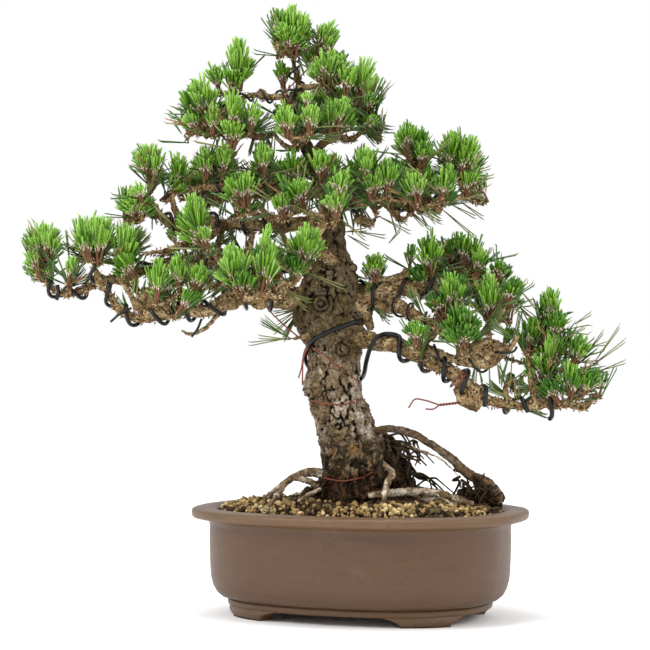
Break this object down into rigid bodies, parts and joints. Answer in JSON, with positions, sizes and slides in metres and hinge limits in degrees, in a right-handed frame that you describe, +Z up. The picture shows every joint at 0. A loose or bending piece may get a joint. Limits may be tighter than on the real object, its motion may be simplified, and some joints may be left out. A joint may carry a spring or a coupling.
{
  "type": "potted black pine bonsai",
  "caption": "Informal upright black pine bonsai with a leaning flaky trunk, wired boughs, an arching root and tufted needle pads, in a brown oval footed clay pot.",
  "frame": {"origin": "middle of the bounding box in plan, on the ground under the pot's feet", "axes": "+Z up along the tree's height; the tree's front, which the picture shows, faces -Y, and +X is to the right of that front"},
  "size_m": [0.5944, 0.2994, 0.6134],
  "materials": {
    "pot_clay": "unglazed matt stoneware",
    "soil_grit": "loose gritty grains",
    "trunk_bark": "flaky plated bark",
    "bough_bark": "scaly bark",
    "root_bark": "smooth weathered root bark",
    "needles": "green needles, satin"
  },
  "bodies": {
    "root": {"bough_back_low": "bough_bark", "bough_back_mid": "bough_bark", "bough_back_right": "bough_bark", "bough_far_left": "bough_bark", "bough_front": "bough_bark", "bough_front_left": "bough_bark", "bough_grey_left": "bough_bark", "bough_low_left": "bough_bark", "bough_low_right": "bough_bark", "bough_mid_left": "bough_bark", "bough_mid_right": "bough_bark", "bough_right": "bough_bark", "bough_right_fork": "bough_bark", "bough_second_left": "bough_bark", "bough_top_left": "bough_bark", "bough_top_right": "bough_bark", "bough_upper_right": "bough_bark", "foliage_apex": "needles", "foliage_far_right": "needles", "foliage_front": "needles", "foliage_low_back": "needles", "foliage_low_far_left": "needles", "foliage_low_left_inner": "needles", "foliage_low_left_mid": "needles", "foliage_low_left_outer": "needles", "foliage_low_left_under": "needles", "foliage_right_back": "needles", "foliage_right_inner": "needles", "foliage_right_lower": "needles", "foliage_right_middle": "needles", "foliage_right_upper": "needles", "foliage_second_back": "needles", "foliage_second_back_left": "needles", "foliage_second_centre": "needles", "foliage_second_far_left": "needles", "foliage_second_left": "needles", "foliage_second_left_low": "needles", "foliage_second_mid_left": "needles", "foliage_second_right": "needles", "foliage_second_right_inner": "needles", "foliage_stem_left": "needles", "foliage_top_back_right": "needles", "foliage_top_centre": "needles", "foliage_top_left": "needles", "foliage_top_left_tip": "needles", "foliage_top_right": "needles", "foliage_top_shoulder": "needles", "pot_body": "pot_clay", "pot_foot_back_left": "pot_clay", "pot_foot_back_right": "pot_clay", "pot_foot_front_left": "pot_clay", "pot_foot_front_right": "pot_clay", "root_arch_fall": "root_bark", "root_arch_rise": "root_bark", "root_front": "root_bark", "root_left": "root_bark", "root_left_front": "root_bark", "root_long_low": "root_bark", "soil": "soil_grit", "trunk": "trunk_bark"}
  },
  "joints": []
}
